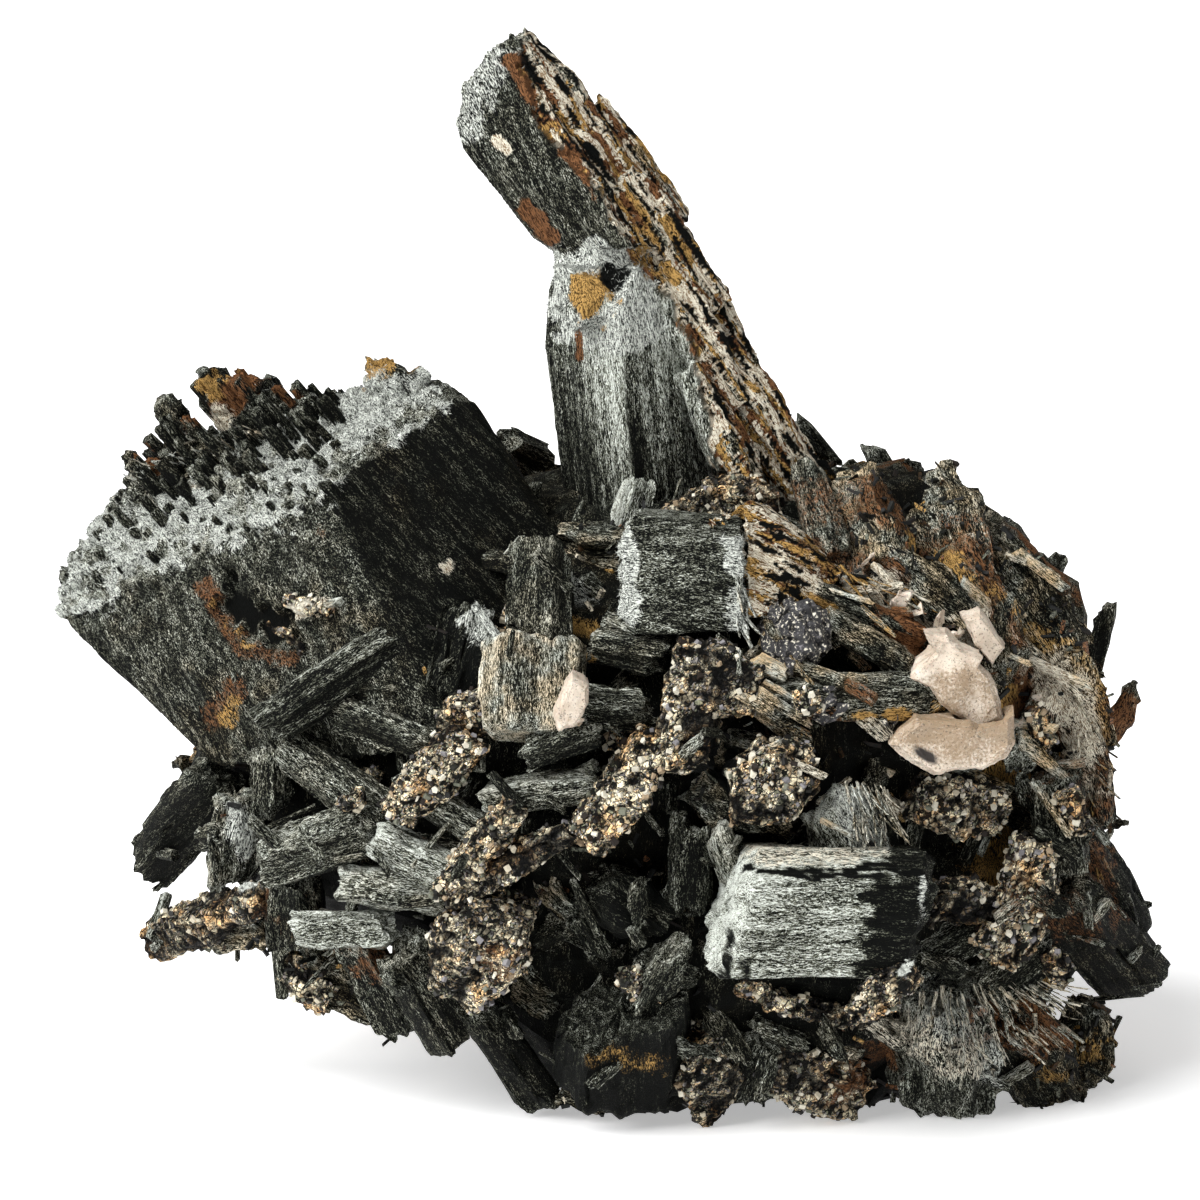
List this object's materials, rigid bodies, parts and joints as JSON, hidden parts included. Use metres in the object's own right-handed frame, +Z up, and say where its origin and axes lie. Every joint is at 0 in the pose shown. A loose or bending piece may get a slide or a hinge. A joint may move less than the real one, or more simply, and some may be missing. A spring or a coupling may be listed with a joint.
{
  "type": "amphibole crystal cluster",
  "caption": "Amphibole mineral specimen: jumbled dark green-black prisms grown together, with a big blocky prism, a tall broken prism, rusty crusts and pale feldspar plates.",
  "frame": {"origin": "middle of the bounding box at its lowest level, on the surface that the specimen rests on", "axes": "+Z up, -Y towards the broad side with the feldspar plates, +X to the right of that side"},
  "size_m": [0.1323, 0.0936, 0.1252],
  "materials": {
    "amphibole_dark": "silky, finely striated along the crystals",
    "amphibole_pale": "satin, fibrous, blue-grey",
    "crust": "granular, speckled black, white, tan and ochre",
    "feldspar": "matt, cream to pale pink"
  },
  "bodies": {
    "root": {"crystal_mass": "amphibole_dark", "block_crystal": "amphibole_dark", "tall_crystal": "amphibole_dark", "squared_crystal": "amphibole_dark", "rusty_slab": "crust", "pale_crystal": "amphibole_pale", "leaning_blade": "amphibole_dark", "crusted_rod": "crust", "crusted_block": "crust", "feldspar_upper_plate": "feldspar", "feldspar_lower_plate": "feldspar", "feldspar_block": "feldspar", "feldspar_chip": "feldspar"}
  },
  "joints": []
}
